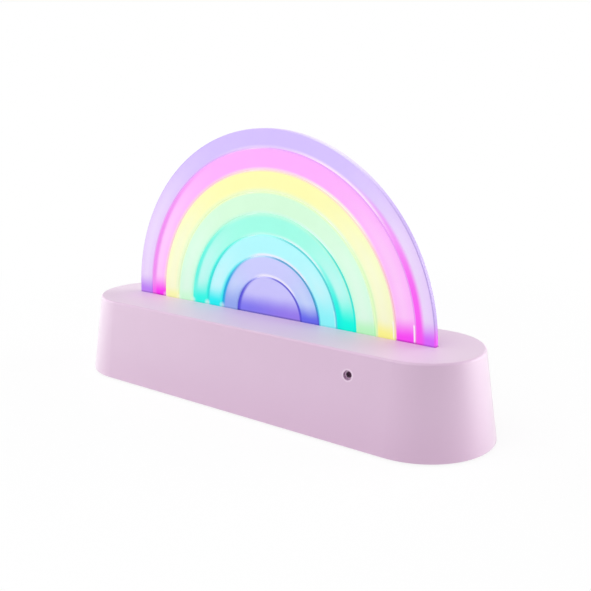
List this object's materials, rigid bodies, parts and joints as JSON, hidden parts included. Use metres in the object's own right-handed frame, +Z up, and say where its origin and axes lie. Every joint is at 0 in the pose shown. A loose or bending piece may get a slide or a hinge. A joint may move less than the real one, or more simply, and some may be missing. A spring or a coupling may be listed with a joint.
{
  "type": "rainbow lamp",
  "caption": "Rainbow lamp: nested glowing arches stand upright in the deck of a tapered obround base with a push button and a battery door.",
  "frame": {"origin": "centre of the lamp's plan, on the surface that its rubber feet stand on", "axes": "+X along the base, to the right seen from the front; +Y from the front wall with the sound opening to the back wall with the button; +Z up"},
  "size_m": [0.2578, 0.0716, 0.1444],
  "materials": {
    "housing_plastic": "satin pale mauve ABS with a fine moulded grain",
    "base_plastic": "fine spark-eroded texture, pale mauve ABS",
    "guide_lavender": "milky acrylic lit from its feet, lavender",
    "guide_pink": "milky acrylic lit from its feet, pink",
    "guide_yellow": "milky acrylic lit from its feet, pale yellow",
    "guide_lime": "milky acrylic lit from its feet, pale green",
    "guide_aqua": "milky acrylic lit from its feet, aqua",
    "guide_cyan": "milky acrylic lit from its feet, cyan",
    "guide_periwinkle": "milky acrylic lit from its feet, periwinkle",
    "guide_violet": "milky acrylic lit from its foot, violet",
    "white_plastic": "white moulded ABS",
    "black_plastic": "black moulded plastic",
    "button_plastic": "satin pale mauve ABS",
    "steel": "zinc-plated steel",
    "tin_can": "tinned sheet steel",
    "nickel": "nickel-plated spring steel",
    "white_board": "white solder mask on glass-fibre board",
    "green_board": "green solder mask on glass-fibre board",
    "led_lens": "clear silicone over a white reflector",
    "capacitor_sleeve": "dark blue shrink sleeve",
    "black_felt": "black felt disc",
    "black_rubber": "black silicone rubber",
    "grey_rubber": "matt grey rubber",
    "cell_jacket": "plain silver-grey cell jacket",
    "wire_jacket": "soft coloured wire insulation"
  },
  "bodies": {
    "root": {"housing": "housing_plastic", "base_plate": "base_plastic", "arch_lavender": "guide_lavender", "arch_pink": "guide_pink", "arch_yellow": "guide_yellow", "arch_lime": "guide_lime", "arch_aqua": "guide_aqua", "arch_cyan": "guide_cyan", "arch_periwinkle": "guide_periwinkle", "half_disc_violet": "guide_violet", "guide_clamp_front": "white_plastic", "guide_clamp_rear": "white_plastic", "clamp_screws": "steel", "clamp_mount_screws": "steel", "led_board": "white_board", "leds": "led_lens", "led_board_screws": "steel", "control_board": "green_board", "control_chip": "black_plastic", "capacitor": "capacitor_sleeve", "wire_sockets": "white_plastic", "control_board_screws": "steel", "microphone": "tin_can", "microphone_felt": "black_felt", "microphone_sleeve": "black_rubber", "button_switch": "black_plastic", "usb_inlet": "tin_can", "battery_cells": "cell_jacket", "contact_plates": "nickel", "contact_springs": "nickel", "rubber_feet": "grey_rubber", "housing_screws": "steel", "battery_leads": "wire_jacket", "led_leads": "wire_jacket", "microphone_leads": "wire_jacket"},
    "power_button": {"power_button": "button_plastic", "switch_plunger": "white_plastic"},
    "battery_door": {"battery_door": "base_plastic", "battery_door_screw": "steel"}
  },
  "joints": [
    {"name": "power_press", "type": "slide", "parent": "root", "child": "power_button", "axis": [0, -1, 0], "range_m": [0, 0.0006], "stiffness_N_per_m": 900, "springref_m": -0.0005},
    {"name": "battery_door_swing", "type": "hinge", "parent": "root", "child": "battery_door", "pos_m": [0, -0.02545, 0.00325], "axis": [-1, 0, 0], "range_deg": [0, 85]}
  ]
}
